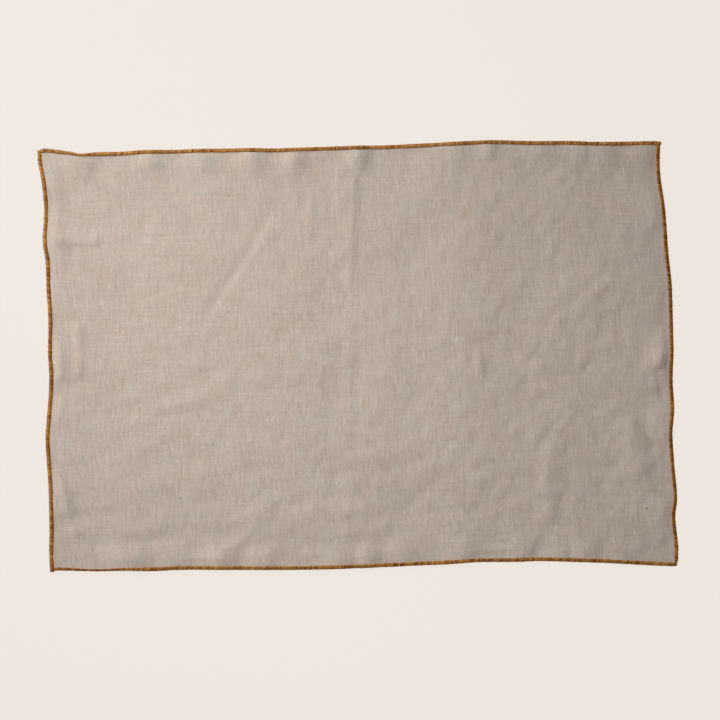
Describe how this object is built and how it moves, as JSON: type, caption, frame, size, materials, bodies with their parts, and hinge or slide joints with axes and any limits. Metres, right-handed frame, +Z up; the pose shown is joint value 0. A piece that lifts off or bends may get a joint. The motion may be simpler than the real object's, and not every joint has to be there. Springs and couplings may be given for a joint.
{
  "type": "fabric placemat",
  "caption": "Rectangular linen placemat with a thick contrasting overlocked edge, lying flat with soft ripples along its hem.",
  "frame": {"origin": "under the middle of the mat's box, at the height of the table that it lies on", "axes": "+X along the long sides, to the user's right; +Y away from the user, towards the far long side; +Z up off the table"},
  "size_m": [0.4957, 0.3336, 0.0042],
  "materials": {
    "linen": "matte plain-weave greige linen with slubs",
    "edging_thread": "slightly lustrous ochre overlock thread"
  },
  "bodies": {
    "root": {"linen_panel": "linen", "edging_top": "edging_thread", "edging_right": "edging_thread", "edging_bottom": "edging_thread", "edging_left": "edging_thread"}
  },
  "joints": []
}
